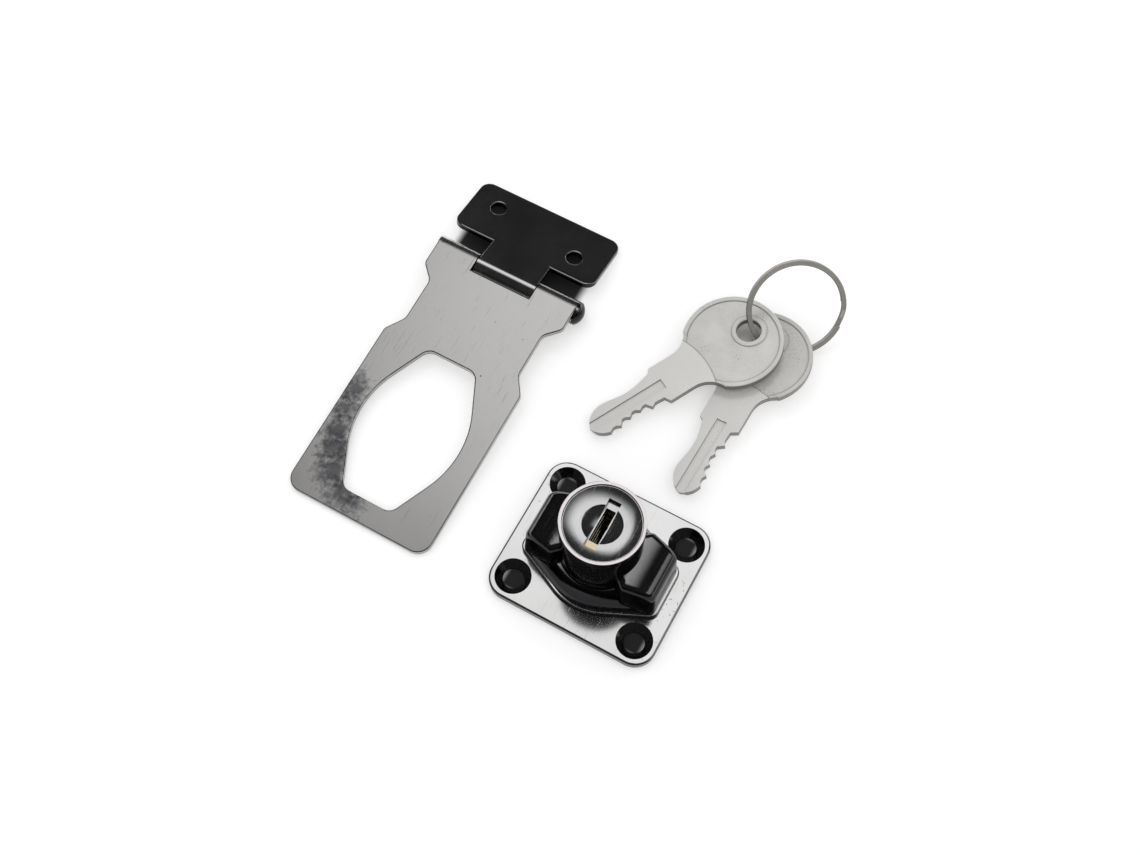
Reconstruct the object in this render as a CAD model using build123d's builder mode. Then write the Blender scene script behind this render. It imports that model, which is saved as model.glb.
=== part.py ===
"""Keyed hasp lock: hinged hasp strap, turning lock knob on its base plate, and two keys on a split ring.

Frame: origin at the centre of the base plate's mounting face, +X along the plate's long side,
+Y along its short side, +Z out of the plate. Millimetres. The hasp and the keys lie beside the
lock on the same surface, at z = 0.
"""

from build123d import *
from math import asin, atan2, cos, degrees, hypot, pi, radians, sin, sqrt, tan
import os

os.makedirs("parts", exist_ok=True)

# Fits and clearances
running_fit = 0.05
free_gap = 0.1
seat_gap = 0.02
smallest_round = 0.4

# Lock base plate
plate_length = 41.6
plate_width = 36.2
plate_t = 2.2
plate_corner_r = 5.0
plate_edge_round = 0.45
screw_spacing_x = 30.86
screw_spacing_y = 25.42
screw_hole_r = 2.4
screw_head_r = 4.2
screw_head_angle = 90

# Eye-shaped boss that fills the opening of the strap
boss_h = 1.4
boss_half_length = 17.3
boss_half_width = 12.75
boss_arc_r = 14.4
boss_side_angle = 25
boss_corner_r = 2.5

# Knob turned by hand
knob_gap = 0.1
knob_inset = 0.8
knob_rim_h = 1.1
skirt_steps = ((1.0, 0.75), (2.6, 1.6), (5.4, 2.3))
hub_r = 9.25
hub_flare_r = 11.3
hub_flare_h = 8.5
wing_end_half_width = 6.4
wing_shoulder_half_width = 8.2
wing_shoulder_x = 8.6
wing_root_half_width = 5.0
wing_crest_x = 7.0
wing_draft = 3
wing_end_h = 4.2
wing_crest_h = 12.2
wing_edge_round = 1.6

# Spigot of the knob, held in the plate by the retaining plate
spigot_r = 9.0
recess_r = 11.6
recess_depth = 1.5
cavity_r = 5.6
retainer_t = 0.45
retainer_r = 11.2
retainer_z = 0.55
thrust_washer_t = 0.35
tail_web_t = 1.5
retainer_screw_r = 0.8
retainer_screw_head_r = 1.5
retainer_screw_head_h = 0.42
retainer_screw_length = 3.7
retainer_screw_angles = (112, 180, 248)

# Cylinder shell
shell_r = 8.2
bezel_r = 9.43
bezel_h = 1.9
bezel_bore_r = 8.62
cylinder_h = 22.6
cylinder_screw_r = 0.75
cylinder_screw_head_r = 1.35
cylinder_screw_head_h = 1.0
cylinder_screw_length = 6.8
cylinder_screw_angles = (60, 300)

# Key plug
plug_r = 6.0
plug_head_h = 1.3
plug_tail_r = 3.0
plug_square = 3.6
face_recess_r = 4.2
face_recess_depth = 1.4
face_dish_depth = 0.6
bezel_edge = 0.1
keyway_width = 2.3
keyway_length = 8.2
face_notch_width = 2.9
face_notch_reach = 5.9
face_notch_depth = 1.3

# Wafers and their springs
wafer_count = 5
wafer_pitch = 2.9
wafer_t = 1.0
wafer_width = 6.4
wafer_height = 9.9
wafer_travel = 0.7
wafer_arm_reach = 1.5
wafer_arm_t = 0.8
wafer_arm_y = 1.1
wafer_window_offsets = (0.25, -0.3, 0.1, 0.3, -0.2)
wafer_spring_length = 3.0
wafer_spring_r = 0.45
wafer_spring_wire_r = 0.1
wafer_spring_turns = 4

# Cam and locking bolt
cam_r = 3.0
bolt_throw = 1.5
bolt_t = 1.35
bolt_width = 4.0
bolt_nose_r = 0.5
bolt_nose_gap = 0.15
bolt_ear_t = 0.6
bolt_ear_reach = 2.0
bolt_spring_wire_r = 0.12
bolt_spring_turns = 3
cam_screw_r = 1.0
cam_screw_head_r = 1.9
cam_screw_head_h = 0.42
cam_screw_length = 4.5

# Hasp hinge
hinge_x = -54.4
hinge_y = 52.4
sheet_t = 1.3
knuckle_r = 3.0
pin_head_r = 2.9
pin_head_h = 1.9
pin_overhang = 0.35
knuckle_half_width = 8.1
knuckle_side_gap = 0.3
curl_sweep = 300
sheet_edge_round = 0.35

# Hasp strap
strap_length = 71.06
ear_half_width = 19.4
strap_side_step = 0.43
ear_length = 6.6
waist_side_step = 3.55
waist_start = 10.2
waist_end = 21.6
shoulder_end = 26.2
strap_corner_r = 3.8
strap_end_margin = 5.76
opening_half_length = 19.55
opening_half_width = 13.15
opening_arc_r = 23.7
opening_corner_r = 3.0

# Fixing leaf
leaf_side_step = 0.3
leaf_near = 6.7
leaf_far = 23.34
leaf_corner_r = 2.8
leaf_hole_r = 2.0
leaf_hole_places = ((-12.2, 16.7), (11.6, 12.8))

# Keys
key_t = 1.9
key_bow_r = 12.2
key_rim_width = 1.2
key_rim_h = 0.22
key_hole_r = 3.0
key_hole_offset = 4.7
key_hole_ring_r = 4.2
key_blade_t = 1.7
key_edge = 0.12
key_length = 40.2
key_step = 8.2
key_neck_high = 5.35
key_neck_low = 4.85
key_neck_flare = 5.8
key_shoulder = 20.6
key_back_shape = ((0.04, 4.3), (0.2, 3.45), (0.4, 3.0), (0.58, 3.45), (0.74, 3.8), (0.88, 3.0), (0.97, 1.3))
key_first_cut = 3.0
key_cut_flat = 0.8
key_cut_half_widths = (3.1, 2.15, 2.05, 2.3, 2.95)
key_tooth_h = 0.6
key_groove_width = 2.6
key_groove_depth = 0.4

# Split ring
ring_outer_r = 12.05
ring_wire_width = 1.25
ring_wire_t = 0.65
ring_turn_angle = 332
ring_rise_angle = 24
ring_centre = (11.96, 75.77, 9.71)
ring_tilt = 49.2
ring_low_azimuth = -54.7

# Heights worked out from the sizes above
knob_z = plate_t + boss_h + knob_gap
spigot_z = retainer_z + retainer_t
washer_z = recess_depth - seat_gap - thrust_washer_t
bolt_z = recess_depth + running_fit
cavity_top = bolt_z + bolt_t + 0.3
shell_z = cavity_top + tail_web_t
flange_z = shell_z + cylinder_h - bezel_h
bezel_z = shell_z + cylinder_h
head_z = flange_z + 0.2
hub_bore_r = shell_r + running_fit
shell_bore_r = plug_r + running_fit
keyway_z = shell_z + 1.0
wafer_z0 = shell_z + 6.4
wafer_centres = [wafer_z0 + wafer_pitch * i for i in range(wafer_count)]
spigot_wall_r = (cavity_r + spigot_r) / 2
shell_wall_r = (plug_r + shell_r) / 2


def eye_profile(half_length, half_width, arc_r, side_angle, corner_r, turned=0):
    """Eye-shaped profile: two bulging sides with straight tangents that run to short flat ends."""
    slope = radians(side_angle)
    tangent_x = arc_r * sin(slope)
    tangent_y = half_width - arc_r * (1 - cos(slope))
    end_y = tangent_y - (half_length - tangent_x) * tan(slope)
    with BuildSketch(mode=Mode.PRIVATE) as profile:
        with BuildLine():
            ThreePointArc((-tangent_x, tangent_y), (0, half_width), (tangent_x, tangent_y))
            Polyline((tangent_x, tangent_y), (half_length, end_y), (half_length, 0))
            Polyline((-tangent_x, tangent_y), (-half_length, end_y), (-half_length, 0))
            mirror(about=Plane.XZ)
        make_face()
        ends = [v for v in profile.vertices() if abs(abs(v.X) - half_length) < 0.01 and abs(v.Y) > 0.01]
        fillet(ends, corner_r)
    return profile.sketch.rotate(Axis.Z, turned)


def boss_profile(inset=0.0):
    """Outline of the boss, or the same outline moved in by a constant distance."""
    return eye_profile(
        boss_half_length - inset,
        boss_half_width - inset,
        boss_arc_r - inset,
        boss_side_angle,
        max(boss_corner_r - inset, smallest_round),
    )


def polar(radius, angle):
    """Point on a circle about the lock's axis."""
    return (radius * cos(radians(angle)), radius * sin(radians(angle)))


# Lock base plate with its boss, screw holes, spigot bore and the two notches for the bolt
with BuildPart() as base_plate:
    with BuildSketch():
        RectangleRounded(plate_length, plate_width, plate_corner_r)
    extrude(amount=plate_t)
    fillet(base_plate.faces().sort_by(Axis.Z)[-1].outer_wire().edges(), plate_edge_round)
    with BuildSketch(Plane.XY.offset(plate_t)):
        add(boss_profile())
    extrude(amount=boss_h)
    fillet(base_plate.faces().sort_by(Axis.Z)[-1].outer_wire().edges(), 0.35)
    with Locations((0, 0, plate_t)):
        with GridLocations(screw_spacing_x, screw_spacing_y, 2, 2):
            CounterSinkHole(screw_hole_r, screw_head_r, counter_sink_angle=screw_head_angle)
    with BuildSketch():
        Circle(spigot_r + running_fit)
    extrude(amount=plate_t + boss_h, mode=Mode.SUBTRACT)
    with BuildSketch():
        Circle(recess_r)
    extrude(amount=recess_depth, mode=Mode.SUBTRACT)
    notch_reach = spigot_r + bolt_throw + 0.3
    with BuildSketch(Plane.XY.offset(recess_depth - 0.2)):
        with Locations((notch_reach / 2, 0)):
            Rectangle(notch_reach, bolt_width + 2 * free_gap)
        with Locations((0, notch_reach / 2)):
            Rectangle(bolt_width + 2 * free_gap, notch_reach)
    extrude(amount=0.2 + bolt_t + 2 * free_gap, mode=Mode.SUBTRACT)
base_plate.part.label = "base_plate"
export_step(base_plate.part, "parts/base_plate.step")

# Knob: two barrel-topped wings, eye-shaped rim with a hollow skirt above it, flared hub, and the
# spigot underneath
wing_reach = boss_half_length - knob_inset
wing_end_z = knob_z + wing_end_h
wing_crest_z = knob_z + wing_crest_h
rim_top = knob_z + knob_rim_h
with BuildPart() as knob_body:
    with BuildSketch(Plane.XY.offset(knob_z)):
        with BuildLine():
            Polyline(
                (wing_reach, 0),
                (wing_reach, wing_end_half_width),
                (wing_shoulder_x, wing_shoulder_half_width),
                (wing_root_half_width, wing_root_half_width),
                (0, wing_root_half_width),
            )
            mirror(about=Plane.YZ)
            mirror(about=Plane.XZ)
        make_face()
    extrude(amount=wing_crest_h + 2, taper=wing_draft)
    with BuildSketch(Plane.XZ):
        with BuildLine():
            Polyline((0, knob_z), (wing_reach, knob_z), (wing_reach, wing_end_z))
            barrel = Bezier(
                (wing_reach, wing_end_z),
                (wing_reach, wing_crest_z - 2.2),
                (wing_reach - 1.2, wing_crest_z - 0.6),
                (wing_crest_x, wing_crest_z),
            )
            Polyline(barrel @ 1, (0, wing_crest_z), (0, knob_z))
        make_face()
        mirror(about=Plane.YZ)
    extrude(amount=plate_width / 2, both=True, mode=Mode.INTERSECT)
    upper_edges = knob_body.edges().filter_by(lambda e: e.center().Z > knob_z + smallest_round)
    side_edges = upper_edges.filter_by(lambda e: abs(e.center().Y) > wing_edge_round / 2)
    fillet(side_edges.filter_by(lambda e: abs(e.center().X) > wing_root_half_width + 0.5), wing_edge_round)
    with BuildSketch(Plane.XY.offset(knob_z)):
        add(boss_profile(knob_inset))
    extrude(amount=knob_rim_h)
    with BuildSketch(Plane.XY.offset(rim_top)):
        add(boss_profile(knob_inset))
    for height, inset in skirt_steps:
        with BuildSketch(Plane.XY.offset(rim_top + height)):
            add(boss_profile(knob_inset + inset))
    loft()
    with BuildSketch(Plane.XZ):
        with BuildLine():
            Polyline((0, knob_z), (hub_flare_r, knob_z), (hub_flare_r, rim_top))
            flare = RadiusArc((hub_flare_r, rim_top), (hub_r, rim_top + hub_flare_h), 2 * hub_flare_h)
            Polyline(flare @ 1, (hub_r, flange_z), (0, flange_z), (0, knob_z))
        make_face()
    revolve(axis=Axis.Z)
    with BuildSketch(Plane.XY.offset(spigot_z)):
        Circle(spigot_r)
    extrude(amount=knob_z - spigot_z)
    with BuildSketch(Plane.XY.offset(spigot_z)):
        Circle(cavity_r)
    extrude(amount=cavity_top - spigot_z, mode=Mode.SUBTRACT)
    with BuildSketch(Plane.XY.offset(cavity_top)):
        Circle(plug_tail_r + running_fit)
    extrude(amount=tail_web_t, mode=Mode.SUBTRACT)
    with BuildSketch(Plane.XY.offset(shell_z - seat_gap)):
        Circle(hub_bore_r)
    extrude(amount=cylinder_h, mode=Mode.SUBTRACT)
    # Guide slot of the bolt, with the pocket for the bolt's ear and spring beside it
    bolt_y = bolt_width / 2 + running_fit
    ear_y = bolt_width / 2 + bolt_ear_reach
    pocket_end = spigot_r - 1.7
    with BuildSketch(Plane.XY.offset(recess_depth)):
        with Locations((spigot_r / 2, 0)):
            Rectangle(spigot_r + 1, 2 * bolt_y)
        with Locations((pocket_end / 2, (ear_y + free_gap) / 2)):
            Rectangle(pocket_end, ear_y + free_gap)
    extrude(amount=bolt_t + 2 * running_fit, mode=Mode.SUBTRACT)
    with BuildSketch(Plane.XY.offset(spigot_z)):
        with Locations(*[polar(spigot_wall_r, a) for a in retainer_screw_angles]):
            Circle(retainer_screw_r + seat_gap)
    extrude(amount=retainer_screw_length - 0.2, mode=Mode.SUBTRACT)
    with BuildSketch(Plane.XY.offset(spigot_z)):
        with Locations(*[polar(shell_wall_r, a) for a in cylinder_screw_angles]):
            Circle(cylinder_screw_r + seat_gap)
    extrude(amount=shell_z - spigot_z, mode=Mode.SUBTRACT)
    with BuildSketch(Plane.XY.offset(spigot_z)):
        with Locations(*[polar(shell_wall_r, a) for a in cylinder_screw_angles]):
            Circle(cylinder_screw_head_r + free_gap)
    extrude(amount=cylinder_screw_head_h + 0.4, mode=Mode.SUBTRACT)
knob_body.part.label = "knob_body"
export_step(knob_body.part, "parts/knob_body.step")

# Washer between the plate's recess and the retaining plate
with BuildPart() as thrust_washer:
    with BuildSketch(Plane.XY.offset(washer_z)):
        Circle(retainer_r - 0.2)
        Circle(spigot_r + 0.15, mode=Mode.SUBTRACT)
    extrude(amount=thrust_washer_t)
thrust_washer.part.label = "thrust_washer"
export_step(thrust_washer.part, "parts/thrust_washer.step")

# Retaining plate under the spigot
with BuildPart() as retaining_plate:
    with BuildSketch(Plane.XY.offset(retainer_z)):
        Circle(retainer_r)
        with Locations(*[polar(spigot_wall_r, a) for a in retainer_screw_angles]):
            Circle(retainer_screw_r + seat_gap, mode=Mode.SUBTRACT)
    extrude(amount=retainer_t)
retaining_plate.part.label = "retaining_plate"
export_step(retaining_plate.part, "parts/retaining_plate.step")


def low_head_screw(head_z_low, head_r, head_h, shank_r, shank_length):
    """Slotted low-head screw that points up, its head's underside at head_z_low."""
    with BuildPart(mode=Mode.PRIVATE) as screw:
        with BuildSketch(Plane.XY.offset(head_z_low)):
            Circle(head_r)
        extrude(amount=head_h)
        chamfer(screw.edges().sort_by(Axis.Z)[0], head_h * 0.3)
        with BuildSketch(Plane.XY.offset(head_z_low + head_h)):
            Circle(shank_r)
        extrude(amount=shank_length)
        with BuildSketch(Plane.XY.offset(head_z_low)):
            Rectangle(2 * head_r, head_r * 0.25)
        extrude(amount=head_h * 0.45, mode=Mode.SUBTRACT)
    return screw.part


with BuildPart() as retaining_screws:
    for angle in retainer_screw_angles:
        with Locations(polar(spigot_wall_r, angle)):
            add(
                low_head_screw(
                    retainer_z - retainer_screw_head_h,
                    retainer_screw_head_r,
                    retainer_screw_head_h,
                    retainer_screw_r,
                    retainer_screw_length,
                )
            )
retaining_screws.part.label = "retaining_screws"
export_step(retaining_screws.part, "parts/retaining_screws.step")

with BuildPart() as cylinder_screws:
    for angle in cylinder_screw_angles:
        with Locations(polar(shell_wall_r, angle)):
            add(
                low_head_screw(
                    spigot_z + 0.4,
                    cylinder_screw_head_r,
                    cylinder_screw_head_h,
                    cylinder_screw_r,
                    cylinder_screw_length,
                )
            )
cylinder_screws.part.label = "cylinder_screws"
export_step(cylinder_screws.part, "parts/cylinder_screws.step")

# Cylinder shell: bezel, barrel and the four wafer channels along its bore
wafer_zone_z = wafer_centres[0] - wafer_t
wafer_zone_h = wafer_pitch * (wafer_count - 1) + 2 * wafer_t
channel_reach = wafer_height / 2 + wafer_travel + 0.6
with BuildPart() as cylinder_shell:
    with BuildSketch(Plane.XZ):
        with BuildLine():
            Polyline(
                (shell_bore_r, shell_z),
                (shell_r, shell_z),
                (shell_r, flange_z + seat_gap),
                (bezel_r, flange_z + seat_gap),
                (bezel_r, bezel_z - bezel_edge),
                (bezel_r - bezel_edge, bezel_z),
                (bezel_bore_r + bezel_edge, bezel_z),
                (bezel_bore_r, bezel_z - bezel_edge),
                (bezel_bore_r, head_z),
                (shell_bore_r, head_z),
                (shell_bore_r, shell_z),
            )
        make_face()
    revolve(axis=Axis.Z)
    with BuildSketch(Plane.XY.offset(wafer_zone_z)):
        Rectangle(wafer_width + 2 * free_gap, 2 * channel_reach)
        Rectangle(2 * channel_reach, wafer_width + 2 * free_gap)
    extrude(amount=wafer_zone_h, mode=Mode.SUBTRACT)
    with BuildSketch(Plane.XY.offset(shell_z)):
        with Locations(*[polar(shell_wall_r, a) for a in cylinder_screw_angles]):
            Circle(cylinder_screw_r + seat_gap)
    tapped_depth = cylinder_screw_length - (shell_z - spigot_z) + cylinder_screw_head_h + 0.8
    extrude(amount=tapped_depth, mode=Mode.SUBTRACT)
cylinder_shell.part.label = "cylinder_shell"
export_step(cylinder_shell.part, "parts/cylinder_shell.step")

# Key plug: dished head with its recess, keyway, wafer slots and spring pockets, and the tail
head_bottom = head_z + running_fit
head_top = head_bottom + plug_head_h
head_r = bezel_bore_r - 0.07
dish_floor = head_top - face_dish_depth
tail_end = bolt_z + 0.08
arm_x = wafer_width / 2 + wafer_arm_reach
arm_root = wafer_arm_reach + 0.5
pocket_low = wafer_arm_y - wafer_spring_length - 0.35
pocket_high = wafer_arm_y + wafer_arm_t + wafer_travel + 0.1
with BuildPart() as key_plug:
    with BuildSketch(Plane.XZ):
        with BuildLine():
            Polyline(
                (0, cavity_top - seat_gap),
                (plug_tail_r, cavity_top - seat_gap),
                (plug_tail_r, shell_z + running_fit),
                (plug_r, shell_z + running_fit),
                (plug_r, head_bottom),
                (head_r, head_bottom),
                (head_r, head_top),
                (head_r - 0.1, head_top),
            )
            TangentArc((face_recess_r + 0.3, dish_floor), (head_r - 0.1, head_top), tangent=(1, 0))
            ThreePointArc(
                (face_recess_r + 0.3, dish_floor),
                (face_recess_r + 0.09, dish_floor - 0.09),
                (face_recess_r, dish_floor - 0.3),
            )
            TangentArc(
                (0, dish_floor - face_recess_depth),
                (face_recess_r, dish_floor - 0.3),
                tangent=(1, 0),
            )
            Line((0, dish_floor - face_recess_depth), (0, cavity_top - seat_gap))
        make_face()
    revolve(axis=Axis.Z)
    with BuildSketch(Plane.XY.offset(tail_end)):
        Rectangle(plug_square, plug_square)
    extrude(amount=cavity_top - tail_end)
    with BuildSketch(Plane.XY.offset(keyway_z)):
        Rectangle(keyway_width, keyway_length)
    extrude(amount=bezel_z - keyway_z, mode=Mode.SUBTRACT)
    with BuildSketch(Plane.XY.offset(dish_floor - face_notch_depth)):
        Rectangle(face_notch_width, 2 * face_notch_reach)
    extrude(amount=face_notch_depth + 2, mode=Mode.SUBTRACT)
    for index, centre_z in enumerate(wafer_centres):
        side = 1 if index % 2 == 0 else -1
        with BuildSketch(Plane.XY.offset(centre_z - wafer_t / 2 - running_fit)):
            Rectangle(wafer_width + 2 * running_fit, 2 * plug_r + 1)
            with Locations((-side * (arm_x + free_gap) / 2, side * (pocket_low + pocket_high) / 2)):
                Rectangle(arm_x + free_gap, pocket_high - pocket_low)
        extrude(amount=wafer_t + 2 * running_fit, mode=Mode.SUBTRACT)
    with BuildSketch(Plane.XY.offset(tail_end)):
        Circle(cam_screw_r + seat_gap)
    extrude(amount=cam_screw_length - 1.0, mode=Mode.SUBTRACT)
key_plug.part.label = "key_plug"
export_step(key_plug.part, "parts/key_plug.step")


def coil_spring(length, coil_r, wire_r, turns):
    """Open coil that starts at the origin and runs along +X."""
    with BuildPart(mode=Mode.PRIVATE) as coil:
        with BuildLine():
            path = Helix(length / turns, length, coil_r, direction=(1, 0, 0))
        with BuildSketch(Plane(origin=path @ 0, z_dir=path % 0)):
            Circle(wire_r)
        sweep(path=path, is_frenet=True)
    return coil.part


# Wafers, flush with the plug as when the key is in, and the springs that push on their arms
for index, centre_z in enumerate(wafer_centres):
    side = 1 if index % 2 == 0 else -1
    with BuildPart() as wafer:
        with BuildSketch(Plane.XY.offset(centre_z - wafer_t / 2)):
            Rectangle(wafer_width, wafer_height)
            with Locations((-side * (arm_x - arm_root / 2), side * (wafer_arm_y + wafer_arm_t / 2))):
                Rectangle(arm_root, wafer_arm_t)
            with Locations((0, side * wafer_window_offsets[index])):
                Rectangle(keyway_width + 0.2, keyway_length, mode=Mode.SUBTRACT)
        extrude(amount=wafer_t)
    wafer.part.label = f"wafer_{index + 1}"
    export_step(wafer.part, f"parts/wafer_{index + 1}.step")
    spring_x = -side * (wafer_width / 2 + running_fit + wafer_spring_r + wafer_spring_wire_r + 0.1)
    spring_y = side * (wafer_arm_y - wafer_spring_wire_r - 0.05)
    spring_place = Location((spring_x, spring_y, centre_z), (0, 0, -side * 90))
    with BuildPart() as wafer_spring:
        with Locations(spring_place):
            add(coil_spring(wafer_spring_length, wafer_spring_r, wafer_spring_wire_r, wafer_spring_turns))
    wafer_spring.part.label = f"wafer_spring_{index + 1}"
    export_step(wafer_spring.part, f"parts/wafer_spring_{index + 1}.step")

# Cam on the plug's tail: its rim is a spiral that lifts the bolt evenly over a quarter turn
spiral_steps = 6
spiral = []
for step in range(spiral_steps + 1):
    share = step / spiral_steps
    spiral.append(polar(cam_r + bolt_throw * (1 - share), -90 + 90 * share))
with BuildPart() as lock_cam:
    with BuildSketch(Plane.XY.offset(bolt_z)):
        with BuildLine():
            Line(polar(cam_r, -90), spiral[0])
            Spline(*spiral)
            CenterArc((0, 0), cam_r, 0, 270)
        make_face()
        Rectangle(plug_square + 2 * seat_gap, plug_square + 2 * seat_gap, mode=Mode.SUBTRACT)
    extrude(amount=bolt_t)
lock_cam.part.label = "lock_cam"
export_step(lock_cam.part, "parts/lock_cam.step")

with BuildPart() as cam_screw:
    add(
        low_head_screw(
            bolt_z - cam_screw_head_h,
            cam_screw_head_r,
            cam_screw_head_h,
            cam_screw_r - seat_gap,
            cam_screw_length - 1.2,
        )
    )
cam_screw.part.label = "cam_screw"
export_step(cam_screw.part, "parts/cam_screw.step")

# Locking bolt: rounded nose on the cam, wide tongue in the spigot's slot, ear for its spring
nose_x = cam_r + bolt_nose_gap
tongue_x = nose_x + 1.25
bolt_end = spigot_r - 0.2
with BuildPart() as locking_bolt:
    with BuildSketch(Plane.XY.offset(bolt_z)):
        with Locations(((tongue_x + bolt_end) / 2, 0)):
            Rectangle(bolt_end - tongue_x, bolt_width)
        with Locations(((nose_x + bolt_nose_r + tongue_x) / 2, 0)):
            Rectangle(tongue_x - nose_x - bolt_nose_r, 2 * bolt_nose_r)
        with Locations((nose_x + bolt_nose_r, 0)):
            Circle(bolt_nose_r)
        with Locations((tongue_x + bolt_ear_t / 2, ear_y / 2)):
            Rectangle(bolt_ear_t, ear_y)
    extrude(amount=bolt_t)
locking_bolt.part.label = "locking_bolt"
export_step(locking_bolt.part, "parts/locking_bolt.step")

bolt_spring_start = tongue_x + bolt_ear_t + seat_gap
bolt_spring_length = pocket_end - bolt_spring_start - 0.15
bolt_spring_r = bolt_t / 2 - bolt_spring_wire_r - seat_gap
with BuildPart() as bolt_spring:
    spring_x = bolt_spring_start + bolt_spring_wire_r
    with Locations((spring_x, (bolt_width + bolt_ear_reach) / 2, bolt_z + bolt_t / 2)):
        add(
            coil_spring(
                bolt_spring_length - 2 * bolt_spring_wire_r,
                bolt_spring_r,
                bolt_spring_wire_r,
                bolt_spring_turns,
            )
        )
bolt_spring.part.label = "bolt_spring"
export_step(bolt_spring.part, "parts/bolt_spring.step")

# Hinge: both sheets are tangent to the top of the barrel, the barrel rests on the table, and
# each sheet slopes down until its far edge rests on the table too
hinge_axis = Vector(hinge_x, hinge_y, knuckle_r)
pin_r = knuckle_r - sheet_t


def resting_slope(length):
    """Angle at which a sheet of this length, tangent to the barrel, touches the table."""
    reach = hypot(length, knuckle_r - sheet_t)
    return degrees(asin(knuckle_r / reach) + atan2(knuckle_r - sheet_t, length))


strap_half_width = ear_half_width - strap_side_step
waist_half_width = ear_half_width - waist_side_step
leaf_half_width = ear_half_width + leaf_side_step
opening_centre = strap_length - strap_end_margin - opening_half_length
strap_slope = resting_slope(strap_length)
leaf_slope = resting_slope(leaf_far)


def sheet_plane(slope):
    """Plane of a sheet through the hinge axis: local y runs up the slope towards +Y."""
    tilt = radians(slope)
    return Plane(origin=hinge_axis, x_dir=(1, 0, 0), z_dir=(0, -sin(tilt), cos(tilt)))


def section_plane(slope, x):
    """Plane across the hinge at x: local x runs along the sheet, local y out of its top face."""
    tilt = radians(slope)
    return Plane(origin=hinge_axis + Vector(x, 0, 0), x_dir=(0, cos(tilt), sin(tilt)), z_dir=(1, 0, 0))


def curl_sketch(sweep_angle, bore_r):
    """Section of a rolled knuckle, from the top of the barrel round by sweep_angle."""
    outer_end = (knuckle_r * cos(radians(90 + sweep_angle)), knuckle_r * sin(radians(90 + sweep_angle)))
    inner_end = (bore_r * cos(radians(90 + sweep_angle)), bore_r * sin(radians(90 + sweep_angle)))
    with BuildSketch(mode=Mode.PRIVATE) as section:
        with BuildLine():
            Line((0, bore_r), (0, knuckle_r))
            CenterArc((0, 0), knuckle_r, 90, sweep_angle)
            Line(outer_end, inner_end)
            CenterArc((0, 0), bore_r, 90, sweep_angle)
        make_face()
    return section.sketch


def sheet_rim(sheet, slope):
    """Edges round the top face of a sheet, apart from the one where the sheet rolls into its knuckle."""
    top = sheet_plane(slope).offset(knuckle_r)
    on_top = sheet.edges().filter_by(lambda e: abs(top.to_local_coords(e.center()).Z) < 0.001)
    return on_top.filter_by(lambda e: abs(top.to_local_coords(e.center()).Y) > 0.01)


# Hasp strap
with BuildPart() as hasp_strap:
    with BuildSketch(sheet_plane(strap_slope).offset(knuckle_r)) as strap_outline:
        with BuildLine():
            Polyline(
                (0, 0),
                (ear_half_width, 0),
                (ear_half_width, -ear_length),
                (waist_half_width, -waist_start),
                (waist_half_width, -waist_end),
                (strap_half_width, -shoulder_end),
                (strap_half_width, -strap_length),
                (0, -strap_length),
            )
            mirror(about=Plane.YZ)
        make_face()
        fillet(strap_outline.vertices().filter_by(lambda v: abs(v.Y + ear_length) < 0.01), 2.2)
        fillet(strap_outline.vertices().filter_by(lambda v: abs(v.Y + waist_start) < 0.01), 2.5)
        fillet(strap_outline.vertices().filter_by(lambda v: abs(v.Y + waist_end) < 0.01), 2.5)
        fillet(strap_outline.vertices().filter_by(lambda v: abs(v.Y + shoulder_end) < 0.01), 2.0)
        fillet(
            strap_outline.vertices().filter_by(lambda v: abs(v.Y + strap_length) < 0.01 and abs(v.X) > 1),
            strap_corner_r,
        )
        with Locations((0, -opening_centre)):
            add(
                eye_profile(
                    opening_half_length,
                    opening_half_width,
                    opening_arc_r,
                    boss_side_angle,
                    opening_corner_r,
                    turned=90,
                ),
                mode=Mode.SUBTRACT,
            )
    extrude(amount=-sheet_t)
    fillet(sheet_rim(hasp_strap, strap_slope), sheet_edge_round)
    for x_start in (-ear_half_width, knuckle_half_width + knuckle_side_gap):
        with BuildSketch(section_plane(strap_slope, x_start)):
            add(curl_sketch(-curl_sweep, pin_r + running_fit))
        extrude(amount=ear_half_width - knuckle_half_width - knuckle_side_gap)
    with BuildSketch(sheet_plane(strap_slope)):
        Rectangle(2 * (knuckle_half_width + knuckle_side_gap), 2 * (knuckle_r + 0.4))
    extrude(amount=knuckle_r + 1, both=True, mode=Mode.SUBTRACT)
hasp_strap.part.label = "hasp_strap"
export_step(hasp_strap.part, "parts/hasp_strap.step")

# Fixing leaf
with BuildPart() as hinge_leaf:
    with BuildSketch(sheet_plane(-leaf_slope).offset(knuckle_r)):
        with Locations((0, (leaf_near + leaf_far) / 2)):
            RectangleRounded(2 * leaf_half_width, leaf_far - leaf_near, leaf_corner_r)
        with Locations((0, (leaf_near + 2) / 2)):
            Rectangle(2 * knuckle_half_width, leaf_near + 2)
        with Locations(*leaf_hole_places):
            Circle(leaf_hole_r, mode=Mode.SUBTRACT)
    extrude(amount=-sheet_t)
    fillet(sheet_rim(hinge_leaf, -leaf_slope), sheet_edge_round)
    with BuildSketch(section_plane(-leaf_slope, -knuckle_half_width)):
        add(curl_sketch(curl_sweep, pin_r))
    extrude(amount=2 * knuckle_half_width)
hinge_leaf.part.label = "hinge_leaf"
export_step(hinge_leaf.part, "parts/hinge_leaf.step")

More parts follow.
